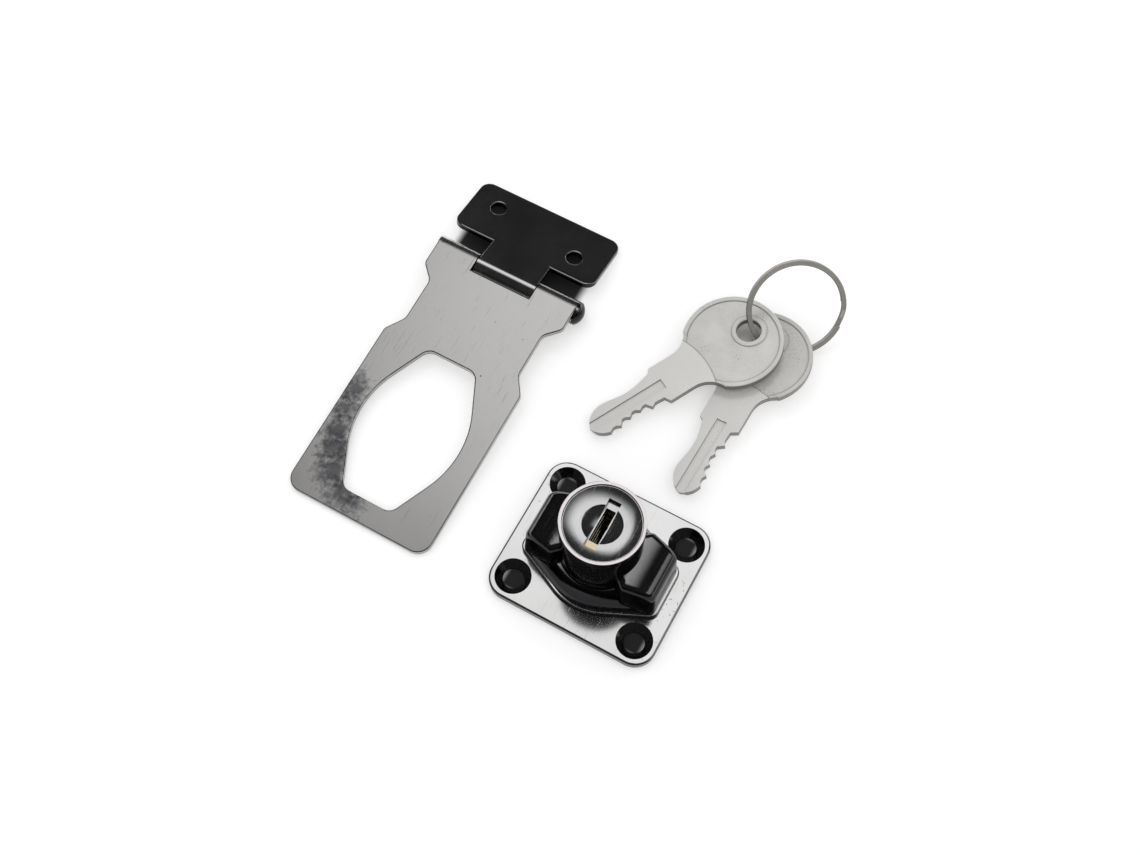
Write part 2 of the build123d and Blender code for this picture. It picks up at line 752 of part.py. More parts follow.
# Hinge pin with its domed head at the +X end
with BuildPart() as hinge_pin:
    with BuildSketch(section_plane(0, -ear_half_width - pin_overhang)):
        Circle(pin_r)
    extrude(amount=2 * ear_half_width + pin_overhang + 0.15)
    dome_base_x = hinge_x + ear_half_width + 0.1
    dome_h = pin_head_h - 0.5
    dome_r = (dome_h**2 + pin_head_r**2) / (2 * dome_h)
    dome_centre_x = dome_base_x + pin_head_h - dome_r
    dome_half_angle = asin(pin_head_r / dome_r) / 2
    with BuildSketch(Plane(origin=(0, hinge_y, knuckle_r), x_dir=(1, 0, 0), z_dir=(0, -1, 0))):
        with BuildLine():
            Polyline((dome_base_x, 0), (dome_base_x, pin_head_r), (dome_base_x + 0.5, pin_head_r))
            ThreePointArc(
                (dome_base_x + 0.5, pin_head_r),
                (dome_centre_x + dome_r * cos(dome_half_angle), dome_r * sin(dome_half_angle)),
                (dome_base_x + pin_head_h, 0),
            )
            Line((dome_base_x + pin_head_h, 0), (dome_base_x, 0))
        make_face()
    revolve(axis=Axis((0, hinge_y, knuckle_r), (1, 0, 0)))
hinge_pin.part.label = "hinge_pin"
export_step(hinge_pin.part, "parts/hinge_pin.step")


def key_cut_points():
    """Cut edge of the blade, from its shoulder to its tip: a flat for each wafer, teeth between."""
    points = [(-key_shoulder, -key_neck_low), (-key_shoulder - 0.9, -key_cut_half_widths[0] - 0.1)]
    for number, half_width in enumerate(key_cut_half_widths):
        cut_x = -key_shoulder - key_first_cut - wafer_pitch * number
        next_half_width = key_cut_half_widths[min(number + 1, wafer_count - 1)]
        tooth = max(half_width, next_half_width) + key_tooth_h
        points.append((cut_x + key_cut_flat / 2, -half_width))
        points.append((cut_x - key_cut_flat / 2, -half_width))
        points.append((cut_x - wafer_pitch / 2, -tooth))
    return points


def bow_disc(outer_r, inner_r):
    """Ring of the bow, cut straight where the neck begins."""
    with BuildSketch(mode=Mode.PRIVATE) as disc:
        Circle(outer_r)
        if inner_r > 0:
            Circle(inner_r, mode=Mode.SUBTRACT)
        with Locations((-key_step - key_bow_r, 0)):
            Rectangle(2 * key_bow_r, 2 * key_bow_r, mode=Mode.SUBTRACT)
    return disc.sketch


def key_part():
    """Key in its own frame: origin at the bow's centre, blade along -X, cuts on the -Y edge."""
    blade_length = key_length - key_shoulder
    back_points = [(-key_shoulder - share * blade_length, half) for share, half in key_back_shape]
    cut_points = key_cut_points()
    flare_x = -key_step - key_neck_flare
    bow_y = sqrt(key_bow_r**2 - key_step**2) - key_edge
    web_t = key_t - 2 * key_rim_h
    with BuildPart(mode=Mode.PRIVATE) as key:
        with BuildSketch(Plane.XY.offset(-web_t / 2)):
            add(bow_disc(key_bow_r, 0))
        extrude(amount=web_t)
        for face_side in (1, -1):
            with BuildSketch(Plane.XY.offset(face_side * web_t / 2)):
                add(bow_disc(key_bow_r, key_bow_r - key_rim_width))
                with Locations((key_hole_offset, 0)):
                    Circle(key_hole_ring_r)
            extrude(amount=face_side * key_rim_h)
        with BuildSketch(Plane.XY.offset(-key_t)):
            with Locations((key_hole_offset, 0)):
                Circle(key_hole_r)
        extrude(amount=2 * key_t, mode=Mode.SUBTRACT)
        round_edges = key.edges().filter_by(GeomType.CIRCLE)
        chamfer(round_edges.filter_by(lambda e: abs(abs(e.center().Z) - key_t / 2) < 0.001), key_edge)
        with BuildSketch(Plane.XY.offset(-key_blade_t / 2)):
            with BuildLine():
                Line((-key_step, -bow_y), (-key_step, bow_y))
                TangentArc((flare_x, key_neck_high), (-key_step, bow_y), tangent=(1, 0))
                Polyline((flare_x, key_neck_high), (-key_shoulder, key_neck_high), back_points[0])
                back = Spline(*back_points, (-key_length, 0))
                Spline(back @ 1, (-key_length + 0.6, -1.5), cut_points[-1])
                Polyline(*cut_points)
                Line((-key_shoulder, -key_neck_low), (flare_x, -key_neck_low))
                TangentArc((flare_x, -key_neck_low), (-key_step, -bow_y), tangent=(1, 0))
            make_face()
        extrude(amount=key_blade_t)
        for face_side in (1, -1):
            with BuildSketch(Plane.XY.offset(face_side * (key_blade_t / 2 - key_groove_depth))):
                with Locations((-key_length, 0)):
                    groove_length = key_length - key_shoulder + 1
                    Rectangle(groove_length, key_groove_width, align=(Align.MIN, Align.CENTER))
            extrude(amount=face_side, mode=Mode.SUBTRACT)
    return key.part


key_1_centre = (2.18, 62.34, 5.48)
key_1_heading = (60.5, 5.94)
key_1_roll = 5.44
key_2_centre = (9.65, 63.41, 2.93)
key_2_heading = (87.95, 1.44)
key_2_roll = 8.84


def key_plane(centre, heading, roll):
    """Plane of a key: local x from its tip to its bow, at an azimuth and a slope, rolled about x."""
    azimuth, slope = radians(heading[0]), radians(heading[1])
    along = Vector(cos(azimuth) * cos(slope), sin(azimuth) * cos(slope), sin(slope))
    left = Vector(-sin(azimuth), cos(azimuth), 0)
    level_normal = along.cross(left)
    normal = level_normal * cos(radians(roll)) + left * sin(radians(roll))
    return Plane(origin=centre, x_dir=along, z_dir=normal)


key_1_plane = key_plane(key_1_centre, key_1_heading, key_1_roll)
key_2_plane = key_plane(key_2_centre, key_2_heading, key_2_roll)
with BuildPart() as key_1:
    with Locations(key_1_plane.location):
        add(key_part())
key_1.part.label = "key_1"
export_step(key_1.part, "parts/key_1.step")

with BuildPart() as key_2:
    with Locations(key_2_plane.location):
        add(key_part())
key_2.part.label = "key_2"
export_step(key_2.part, "parts/key_2.step")

# Split ring: two flat turns of wire that lie on each other, with a short rise from one to the
# other, tilted so that it passes through both keys
ring_lean = radians(ring_tilt)
ring_azimuth = radians(ring_low_azimuth)
ring_normal = (sin(ring_lean) * cos(ring_azimuth), sin(ring_lean) * sin(ring_azimuth), cos(ring_lean))
ring_plane = Plane(origin=ring_centre, x_dir=(-sin(ring_azimuth), cos(ring_azimuth), 0), z_dir=ring_normal)
ring_level = (ring_wire_t + seat_gap) / 2


def wire_section(angle, level):
    """Plane across the ring's wire, at an angle round the ring and a level along its axis."""
    turn = radians(angle)
    return Plane(origin=(0, 0, level), x_dir=(cos(turn), sin(turn), 0), z_dir=(sin(turn), -cos(turn), 0))


def wire_profile():
    """Section of the wire, with the ring's axis at the origin."""
    with BuildSketch(mode=Mode.PRIVATE) as profile:
        with Locations((ring_outer_r - ring_wire_width / 2, 0)):
            RectangleRounded(ring_wire_width, ring_wire_t, ring_wire_t * 0.3)
    return profile.sketch


with BuildPart() as coil:
    rise_steps = 4
    for step in range(rise_steps + 1):
        share = step / rise_steps
        level = -ring_level * cos(pi * share)
        with BuildSketch(wire_section(-ring_rise_angle * (1 - share) - 1, level)):
            add(wire_profile())
    loft()
    with BuildSketch(wire_section(-1 - ring_rise_angle, -ring_level)):
        add(wire_profile())
    revolve(axis=Axis.Z, revolution_arc=-ring_turn_angle)
    with BuildSketch(wire_section(-1, ring_level)):
        add(wire_profile())
    revolve(axis=Axis.Z, revolution_arc=ring_turn_angle)
with BuildPart() as split_ring:
    with Locations(ring_plane.location):
        add(coil.part)
split_ring.part.label = "split_ring"
export_step(split_ring.part, "parts/split_ring.step")

print(f"strap slope {strap_slope:.2f}, leaf slope {leaf_slope:.2f}")
print(f"knob foot z {knob_z:.2f}, bezel top {bezel_z:.2f}")
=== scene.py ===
# %% [markdown]
# # A keyed hasp lock in chrome
# The object is a small hasp lock: a hinged strap with an eye-shaped opening, a lock whose winged
# knob turns on its plate, and two keys on a split ring. All its pieces are rigid metal, so their
# shapes come from the solid model, and this lesson is about finishes, edges and light.

import math

import bpy
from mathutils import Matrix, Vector


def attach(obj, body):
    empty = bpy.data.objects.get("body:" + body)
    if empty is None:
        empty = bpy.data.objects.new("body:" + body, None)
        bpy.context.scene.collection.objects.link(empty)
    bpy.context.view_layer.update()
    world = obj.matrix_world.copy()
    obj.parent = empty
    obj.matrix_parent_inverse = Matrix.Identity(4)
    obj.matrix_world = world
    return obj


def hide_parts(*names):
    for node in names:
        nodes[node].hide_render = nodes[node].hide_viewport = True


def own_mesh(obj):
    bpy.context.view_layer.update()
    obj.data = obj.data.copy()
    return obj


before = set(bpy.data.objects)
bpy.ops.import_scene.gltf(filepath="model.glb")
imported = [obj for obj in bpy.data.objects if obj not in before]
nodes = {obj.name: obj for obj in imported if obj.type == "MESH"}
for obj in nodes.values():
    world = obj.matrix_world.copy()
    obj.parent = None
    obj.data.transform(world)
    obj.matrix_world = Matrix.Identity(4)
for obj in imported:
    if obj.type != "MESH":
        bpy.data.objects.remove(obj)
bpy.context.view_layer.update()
scene = bpy.context.scene
scene.view_settings.view_transform = "Standard"


def in_mm(box):
    """The corners of a box in millimetres, for printing."""
    return [[round(1000 * number, 1) for number in corner] for corner in box]


# %% [markdown]
# The camera comes first, because every later choice is judged through it. The photograph was taken
# from above, 66 degrees up and a little to the right of the lock. A camera is placed with three
# numbers that a photographer would use: height angle, direction and distance from what it looks at.
# Its lens was measured in points of the photograph, and is turned into the millimetres that Blender
# wants.

# %% Place the camera
camera_height_angle = 66.377
camera_direction = 28.896
camera_distance = 0.33644
look_at = Vector((-0.022287, 0.026247, 0.0))
photo_width = 1140.0
lens_in_photo_points = 1419.8
film_width = 36.0
nearest_seen = 0.01


def direction_from_angles(direction, height_angle):
    """Unit vector towards a point seen at this direction, measured from the front, and height."""
    turn, rise = math.radians(direction), math.radians(height_angle)
    return Vector((math.sin(turn) * math.cos(rise), -math.cos(turn) * math.cos(rise), math.sin(rise)))


towards_camera = direction_from_angles(camera_direction, camera_height_angle)
camera_data = bpy.data.cameras.new("camera")
camera_data.sensor_width = film_width
camera_data.lens = film_width * lens_in_photo_points / photo_width
camera_data.clip_start = nearest_seen
camera = bpy.data.objects.new("camera", camera_data)
scene.collection.objects.link(camera)
camera.location = look_at + camera_distance * towards_camera
camera.rotation_euler = towards_camera.to_track_quat("Z", "Y").to_euler()
scene.camera = camera
print("camera at", in_mm([camera.location])[0], "mm, lens", round(camera_data.lens, 1))

# %% [markdown]
# Light and finishes are both built from shader nodes, and written out in full each node takes four
# or five lines. Three small helpers make them short: one adds a node, one joins two sockets, and one
# gives a socket its value.


# %% Helpers for nodes
def node_in(tree, kind, **values):
    """Add a node and set its values; names of inputs are written with underscores."""
    node = tree.nodes.new(kind)
    for name, value in values.items():
        socket = name.replace("_", " ")
        if hasattr(node, name):
            setattr(node, name, value)
        elif socket in node.inputs:
            node.inputs[socket].default_value = value
        else:
            raise KeyError(f"{kind} has no {name}")
    return node


def join(tree, out_socket, in_socket):
    """Draw a line from one node's output to another's input."""
    tree.links.new(out_socket, in_socket)


def feed(tree, value, in_socket):
    """Give an input its value, which is a number, a colour or another node's output."""
    if isinstance(value, bpy.types.NodeSocket):
        join(tree, value, in_socket)
    else:
        in_socket.default_value = value


print("helpers:", node_in.__name__, join.__name__, feed.__name__)

# %% [markdown]
# Three kinds of node come up again and again: sums, soft steps and colour mixes. Each gets a helper
# that takes sockets or plain numbers and gives a socket, so that they can be put into one another
# like the terms of a formula.


# %% Helpers for sums, steps and mixes
def math_in(tree, operation, a, b=None, clamp=False):
    """A Math node whose inputs are sockets or numbers; gives its output socket."""
    node = node_in(tree, "ShaderNodeMath", operation=operation, use_clamp=clamp)
    feed(tree, a, node.inputs[0])
    if b is not None:
        feed(tree, b, node.inputs[1])
    return node.outputs["Value"]


def step_in(tree, value, low, high, start=0.0, end=1.0):
    """Smooth change from start to end while value goes from low to high; gives its output socket."""
    node = node_in(tree, "ShaderNodeMapRange", interpolation_type="SMOOTHSTEP")
    for name, number in (("From Min", low), ("From Max", high), ("To Min", start), ("To Max", end)):
        feed(tree, number, node.inputs[name])
    join(tree, value, node.inputs["Value"])
    return node.outputs["Result"]


def mix_color(tree, factor, a, b):
    """Mix two colours, each a socket or three numbers, by a factor socket; gives its output socket."""
    node = node_in(tree, "ShaderNodeMix", data_type="RGBA")
    color_inputs = {socket.name: socket for socket in node.inputs if socket.type == "RGBA"}
    join(tree, factor, node.inputs["Factor"])
    for name, color in (("A", a), ("B", b)):
        feed(tree, (*color, 1.0) if isinstance(color, tuple) else color, color_inputs[name])
    return next(socket for socket in node.outputs if socket.type == "RGBA")


print("helpers:", math_in.__name__, step_in.__name__, mix_color.__name__)

# %% [markdown]
# Polished metal has almost no colour of its own: it shows the room. This studio is dark with one
# wide soft box overhead, slightly behind the object, so flat faces turn white and steep walls turn
# black. A lamp could give that reflection too, but its edge would be hard, so the world is built as
# a formula of direction, with edges as soft as they are wanted. Diffuse light is even and plain, so
# that a colour renders about as it is written, and only glossy rays see the soft box.


# %% Window of light
def soft_box(tree, split, left, right, front, back, strength):
    """Strength inside a soft-edged window of directions; each edge is where it starts and ends."""
    horizon = (0.0, 0.1)
    across, along, up = (split.outputs[axis] for axis in "XYZ")
    mask = step_in(tree, across, *left)
    mask = math_in(tree, "MULTIPLY", mask, step_in(tree, across, *right, start=1.0, end=0.0))
    mask = math_in(tree, "MULTIPLY", mask, step_in(tree, along, *front))
    mask = math_in(tree, "MULTIPLY", mask, step_in(tree, along, *back, start=1.0, end=0.0))
    mask = math_in(tree, "MULTIPLY", mask, step_in(tree, up, *horizon))
    return math_in(tree, "MULTIPLY", mask, strength)


print("helper:", soft_box.__name__)

# %% [markdown]
# Two windows are enough. The wide one hangs overhead and gives every flat face its light. The narrow
# one stands low on the right at half strength, and draws the bright lines along the right walls.

# %% World with a soft box
dark_room = 0.015
even_light = 1.0
world = bpy.data.worlds.new("studio")
scene.world = world
world.use_nodes = True
sky = world.node_tree
sky.nodes.clear()
direction = node_in(sky, "ShaderNodeTexCoord")
split_direction = node_in(sky, "ShaderNodeSeparateXYZ")
join(sky, direction.outputs["Generated"], split_direction.inputs["Vector"])
overhead = soft_box(
    sky,
    split_direction,
    left=(-0.42, -0.35),
    right=(0.0, 0.42),
    front=(-0.1, 0.28),
    back=(0.40, 0.60),
    strength=1.0,
)
right_strip = soft_box(
    sky,
    split_direction,
    left=(0.72, 0.8),
    right=(0.9, 0.97),
    front=(-0.3, 0.1),
    back=(0.3, 0.6),
    strength=0.5,
)
room = math_in(sky, "ADD", dark_room, math_in(sky, "ADD", overhead, right_strip))
print("world nodes so far:", len(sky.nodes))

# %% [markdown]
# The world now holds the studio as a mirror sees it. Matt surfaces should get plain white light
# instead, so a second background stands beside the first, and Light Path chooses between the two by
# the kind of ray that asks.

# %% Light for glossy and for other rays
glossy_sky = node_in(sky, "ShaderNodeBackground")
join(sky, room, glossy_sky.inputs["Strength"])
plain_sky = node_in(sky, "ShaderNodeBackground", Color=(1, 1, 1, 1), Strength=even_light)
sky_ray = node_in(sky, "ShaderNodeLightPath")
choose = node_in(sky, "ShaderNodeMixShader")
world_out = node_in(sky, "ShaderNodeOutputWorld")
join(sky, sky_ray.outputs["Is Glossy Ray"], choose.inputs["Fac"])
join(sky, plain_sky.outputs["Background"], choose.inputs[1])
join(sky, glossy_sky.outputs["Background"], choose.inputs[2])
join(sky, choose.outputs["Shader"], world_out.inputs["Surface"])
print("world nodes:", len(sky.nodes))

# %% [markdown]
# One weak lamp gives the shadows a direction. It is large and stands behind the object on the left,
# so that the shadow under each piece is short, soft and on its right side, as in the photograph. It
# is hidden from glossy rays, because its round shape would show in the chrome.

# %% Lamp
lamp_width = 0.25
lamp_watts = 0.2
lamp_distance = 0.6
lamp_direction = Vector((-0.45, 0.35, 1.0)).normalized()
lamp_data = bpy.data.lights.new("key_light", "AREA")
lamp_data.shape = "DISK"
lamp_data.size = lamp_width
lamp_data.energy = lamp_watts
lamp = bpy.data.objects.new("key_light", lamp_data)
scene.collection.objects.link(lamp)
lamp.location = look_at + lamp_distance * lamp_direction
lamp.rotation_euler = lamp_direction.to_track_quat("Z", "Y").to_euler()
lamp.visible_glossy = False
print("lamp power", lamp_watts, "W")

# %% [markdown]
# The floor is one large plane of white paper, which keeps the soft contact shadows that hold the
# pieces down. It lies a hair below the pieces, so that no two faces share one height.

# %% Floor
floor_reach = 3.0
floor_drop = 0.00002
floor_corners = [
    (x * floor_reach, y * floor_reach, -floor_drop) for x, y in ((-1, -1), (1, -1), (1, 1), (-1, 1))
]
floor_mesh = bpy.data.meshes.new("floor")
floor_mesh.from_pydata(floor_corners, [], [(0, 1, 2, 3)])
floor = bpy.data.objects.new("floor", floor_mesh)
scene.collection.objects.link(floor)
print("floor", floor_reach * 2, "m wide")

# %% [markdown]
# Deep screw holes and the gaps of the hinge look black in the photograph, because hardly any light
# comes back out of them. Here the floor's own glow would shine up through them. So the paper gets a
# painted shadow: it is dark in two rectangles that the lock plate and the leaf hide from above. A
# rectangle is the larger of two distances, across and along, each measured in half sizes.


# %% Painted shadow on the paper
def painted_shadow_patch(tree, place, centre, half_size):
    """1 inside a rectangle of painted shadow on the floor and 0 outside, with a soft edge; gives its
    output socket.
    """
    edge = (0.9, 1.05)
    away = node_in(tree, "ShaderNodeMapping", vector_type="POINT")
    away.inputs["Location"].default_value = (-centre[0] / half_size[0], -centre[1] / half_size[1], 0.0)
    away.inputs["Scale"].default_value = (1 / half_size[0], 1 / half_size[1], 0.0)
    join(tree, place, away.inputs["Vector"])
    split = node_in(tree, "ShaderNodeSeparateXYZ")
    join(tree, away.outputs["Vector"], split.inputs["Vector"])
    across = math_in(tree, "ABSOLUTE", split.outputs["X"])
    along = math_in(tree, "ABSOLUTE", split.outputs["Y"])
    return step_in(tree, math_in(tree, "MAXIMUM", across, along), *edge, start=1.0, end=0.0)


def object_place(tree):
    """Place on the object, in its own coordinates, which move with the piece."""
    return node_in(tree, "ShaderNodeTexCoord").outputs["Object"]


print("helpers:", painted_shadow_patch.__name__, object_place.__name__)

# %% [markdown]
# Paper is matt, so it gets a high roughness and hardly any gloss. Its white is kept a little below
# that of real paper, and the next step lifts it to the white of the photograph.

# %% Paper of the floor
lock_centre, lock_half_size = (0.0, 0.0), (0.0185, 0.016)
leaf_centre, leaf_half_size = (-0.0545, 0.0628), (0.0178, 0.0112)
paper_white = (0.72, 0.72, 0.72)
painted_shadow_color = (0.025, 0.025, 0.025)
paper = bpy.data.materials.new("white_paper")
paper.use_nodes = True
paper_tree = paper.node_tree
paper_shader = paper_tree.nodes["Principled BSDF"]
paper_shader.inputs["Roughness"].default_value = 0.9
paper_shader.inputs["Specular IOR Level"].default_value = 0.1
paper_place = object_place(paper_tree)
# Painted shadow: dark rectangles under the lock plate and the leaf.
shadow_under_lock = painted_shadow_patch(paper_tree, paper_place, lock_centre, lock_half_size)
shadow_under_leaf = painted_shadow_patch(paper_tree, paper_place, leaf_centre, leaf_half_size)
shade = math_in(paper_tree, "MAXIMUM", shadow_under_lock, shadow_under_leaf)
paper_color = mix_color(paper_tree, shade, paper_white, painted_shadow_color)
join(paper_tree, paper_color, paper_shader.inputs["Base Color"])
floor_mesh.materials.append(paper)
print("paper nodes:", len(paper_tree.nodes))

# %% [markdown]
# Paper alone renders a little grey. More light would bleach the object as well, so the paper gets a
# small glow instead, which only the camera, mirrors and glass can see. It adds no light to the pieces,
# and the painted shadow patches have none.

# %% Glow of the paper
paper_glow = 0.34
paper_ray = node_in(paper_tree, "ShaderNodeLightPath")
seen = paper_ray.outputs["Is Camera Ray"]
for ray_kind in ("Is Glossy Ray", "Is Transmission Ray"):
    seen = math_in(paper_tree, "MAXIMUM", seen, paper_ray.outputs[ray_kind])
lit = math_in(paper_tree, "SUBTRACT", 1.0, shade)
glow = math_in(paper_tree, "MULTIPLY", math_in(paper_tree, "MULTIPLY", seen, lit), paper_glow)
paper_shader.inputs["Emission Color"].default_value = (1, 1, 1, 1)
join(paper_tree, glow, paper_shader.inputs["Emission Strength"])
print("paper glows for camera, glossy and transmission rays")

# %% [markdown]
# Several effects are on more than one metal, so each is a node group, built once and placed with its
# own values. A group needs its inputs and outputs named before nodes inside can be joined to them,
# and one helper does that for all of them.

# %% Helper to build a group
FLOAT = "NodeSocketFloat"


def new_group(name, inputs, output="Mask"):
    """Node group with named number inputs and one output; gives its tree, input and output node."""
    group = bpy.data.node_groups.new(name, "ShaderNodeTree")
    for label, value in inputs.items():
        socket = group.interface.new_socket(label, in_out="INPUT", socket_type=FLOAT)
        socket.default_value = value
    group.interface.new_socket(output, in_out="OUTPUT", socket_type=FLOAT)
    return group, group.nodes.new("NodeGroupInput"), group.nodes.new("NodeGroupOutput")


print("helper:", new_group.__name__)

# %% [markdown]
# Steep walls get a painted shade: their colour is darker than the face, standing in for the dark
# reflections of steep chrome. A mask finds these walls by how far the surface's own direction in the
# object leans from straight up. It doesn't ask where the camera stands, so a wall stays dark from
# everywhere.

# %% Painted wall shade group
wall_shade_group, wall_in, wall_out = new_group("painted_wall_shade", {"Start": 0.35, "End": 0.75})
facing = node_in(wall_shade_group, "ShaderNodeTexCoord")
facing_split = node_in(wall_shade_group, "ShaderNodeSeparateXYZ")
join(wall_shade_group, facing.outputs["Normal"], facing_split.inputs["Vector"])
upright = math_in(wall_shade_group, "ABSOLUTE", facing_split.outputs["Z"])
wall_range = (wall_in.outputs["Start"], wall_in.outputs["End"])
wall_shade = step_in(wall_shade_group, upright, *wall_range, start=1.0, end=0.0)
join(wall_shade_group, wall_shade, wall_out.inputs["Mask"])
print("built", wall_shade_group.name)

# %% [markdown]
# Fine scratches are long thin streaks. Stretching a noise texture far more along one axis than along
# the other gives such streaks, and cutting off all but its peaks leaves a few lines. Three
# directions are laid over each other, so that they do not look combed.

# %% Scratch group
scratch_group, scratch_in, scratch_out = new_group("fine_scratches", {"Sparse": 0.68})
turns_and_scales = ((0.35, 260.0), (1.9, 210.0), (2.7, 320.0))
stretch = (12, 0.35, 2)
line_contrast = 14.0
scratched_place = object_place(scratch_group)
streaks = 0.0
for turn, scale in turns_and_scales:
    turned = node_in(scratch_group, "ShaderNodeMapping")
    turned.inputs["Rotation"].default_value = (0.0, 0.0, turn)
    turned.inputs["Scale"].default_value = [scale * part for part in stretch]
    join(scratch_group, scratched_place, turned.inputs["Vector"])
    noise = node_in(scratch_group, "ShaderNodeTexNoise", Scale=1.0, Detail=2.0)
    join(scratch_group, turned.outputs["Vector"], noise.inputs["Vector"])
    over = math_in(scratch_group, "SUBTRACT", noise.outputs["Fac"], scratch_in.outputs["Sparse"])
    line = math_in(scratch_group, "MULTIPLY", over, line_contrast, clamp=True)
    streaks = math_in(scratch_group, "MAXIMUM", streaks, line)
join(scratch_group, streaks, scratch_out.inputs["Mask"])
print("built", scratch_group.name)

# %% [markdown]
# Specks are pinholes in the plating. A cell texture gives one round spot for each cell, which noise
# alone can't, and a second, coarse noise decides where the spots cluster.

# %% Speck group
speck_group, speck_in, speck_out = new_group("specks", {"Cells": 900.0, "Size": 0.12, "Cluster": 0.5})
cluster_scale = 90.0
speck_place = object_place(speck_group)
cells = node_in(speck_group, "ShaderNodeTexVoronoi", Randomness=1.0)
join(speck_group, speck_place, cells.inputs["Vector"])
join(speck_group, speck_in.outputs["Cells"], cells.inputs["Scale"])
dot = math_in(speck_group, "LESS_THAN", cells.outputs["Distance"], speck_in.outputs["Size"])
clusters = node_in(speck_group, "ShaderNodeTexNoise", Scale=cluster_scale, Detail=3.0)
join(speck_group, speck_place, clusters.inputs["Vector"])
chosen = math_in(speck_group, "GREATER_THAN", clusters.outputs["Fac"], speck_in.outputs["Cluster"])
join(speck_group, math_in(speck_group, "MULTIPLY", dot, chosen), speck_out.inputs["Mask"])
print("built", speck_group.name)

# %% [markdown]
# Mottle is the slow unevenness of plating and rolled sheet. It is a soft noise for broad clouds and
# a fine one for grain, blended by a value that says how much of it is grain.

# %% Mottle group
mottle_inputs = {"Broad Scale": 60.0, "Grain": 0.4}
mottle_group, mottle_in, mottle_out = new_group("mottle", mottle_inputs, output="Clouds")
grain_scale = 2500.0
mottle_place = object_place(mottle_group)
broad = node_in(mottle_group, "ShaderNodeTexNoise", Detail=4.0, Roughness=0.55)
join(mottle_group, mottle_in.outputs["Broad Scale"], broad.inputs["Scale"])
fine = node_in(mottle_group, "ShaderNodeTexNoise", Scale=grain_scale, Detail=2.0)
blend = node_in(mottle_group, "ShaderNodeMix", data_type="FLOAT")
for noise, label in ((broad, "A"), (fine, "B")):
    join(mottle_group, mottle_place, noise.inputs["Vector"])
    join(mottle_group, noise.outputs["Fac"], blend.inputs[label])
join(mottle_group, mottle_in.outputs["Grain"], blend.inputs["Factor"])
join(mottle_group, blend.outputs["Result"], mottle_out.inputs["Clouds"])
print("built", mottle_group.name)

# %% [markdown]
# Some marks belong to one place: the dark patch on the strap's arm, the brass that shows in the
# keyway, the painted shade lines of the keys. All are drawn by the distance from a point in the plane
# of the table. It is measured in the object's own coordinates, so the mark moves with its piece.


# %% Distance from a centre
def distance_from_centre(group, group_in, place):
    """Distance in the plane of the table from the group's Centre X and Centre Y."""
    place_split = node_in(group, "ShaderNodeSeparateXYZ")
    join(group, place, place_split.inputs["Vector"])
    from_centre = node_in(group, "ShaderNodeCombineXYZ")
    for axis in ("X", "Y"):
        centre = group_in.outputs["Centre " + axis]
        offset = math_in(group, "SUBTRACT", place_split.outputs[axis], centre)
        join(group, offset, from_centre.inputs[axis])
    length = node_in(group, "ShaderNodeVectorMath", operation="LENGTH")
    join(group, from_centre.outputs["Vector"], length.inputs[0])
    return length.outputs["Value"]


print("helper:", distance_from_centre.__name__)

# %% [markdown]
# A spot is everything nearer to its centre than its radius. Its edge is softened, and noise can be
# added to the distance, which breaks the edge up as wear does.

# %% Spot group
spot_inputs = {
    "Centre X": 0.0,
    "Centre Y": 0.0,
    "Radius": 0.005,
    "Edge": 0.001,
    "Uneven": 0.0,
    "Noise Scale": 500.0,
}
spot_group, spot_in, spot_out = new_group("spot", spot_inputs)
spot_place = object_place(spot_group)
ragged = node_in(spot_group, "ShaderNodeTexNoise", Detail=3.0, Roughness=0.6)
join(spot_group, spot_place, ragged.inputs["Vector"])
join(spot_group, spot_in.outputs["Noise Scale"], ragged.inputs["Scale"])
swing = math_in(spot_group, "SUBTRACT", ragged.outputs["Fac"], 0.5)
swing = math_in(spot_group, "MULTIPLY", swing, spot_in.outputs["Uneven"])
reach = math_in(spot_group, "ADD", distance_from_centre(spot_group, spot_in, spot_place), swing)
inside = math_in(spot_group, "SUBTRACT", spot_in.outputs["Radius"], reach)
soft = math_in(spot_group, "DIVIDE", inside, spot_in.outputs["Edge"], clamp=True)
join(spot_group, soft, spot_out.inputs["Mask"])
print("built", spot_group.name)

# %% [markdown]
# Struck grooves around a hole or a bow get a line of painted shade. A ring line is the outline of a
# spot: it asks how far a place is from the circle, and not from the centre.

# %% Ring line group
line_inputs = {"Centre X": 0.0, "Centre Y": 0.0, "Radius": 0.005, "Width": 0.0002}
line_group, line_in, line_out = new_group("ring_line", line_inputs)
from_middle = distance_from_centre(line_group, line_in, object_place(line_group))
gap = math_in(line_group, "SUBTRACT", from_middle, line_in.outputs["Radius"])
gap = math_in(line_group, "ABSOLUTE", gap)
share = math_in(line_group, "DIVIDE", gap, line_in.outputs["Width"])
join(line_group, math_in(line_group, "SUBTRACT", 1.0, share, clamp=True), line_out.inputs["Mask"])
print("built", line_group.name)

# %% [markdown]
# A group is placed in a material like any other node. The helper sets its inputs by name, so that a
# finish reads as a list of what it has.


# %% Helper to place a group
def use_group(tree, group, **values):
    """Place a group in a material and set its inputs; gives its one output socket."""
    node = node_in(tree, "ShaderNodeGroup", node_tree=group)
    for name, value in values.items():
        node.inputs[name.replace("_", " ")].default_value = value
    return node.outputs[0]


print("helper:", use_group.__name__)

# %% [markdown]
# Every metal here has the same skeleton. Its colour is clouded by the mottle and brightened in its
# scratches, and the marks of one place are laid over that. The two steps are functions of their own,
# so that the recipe further down stays short.

# %% Colour of a metal's face
cloud_range = (0.3, 0.7)
cloud_contrast = 2.2


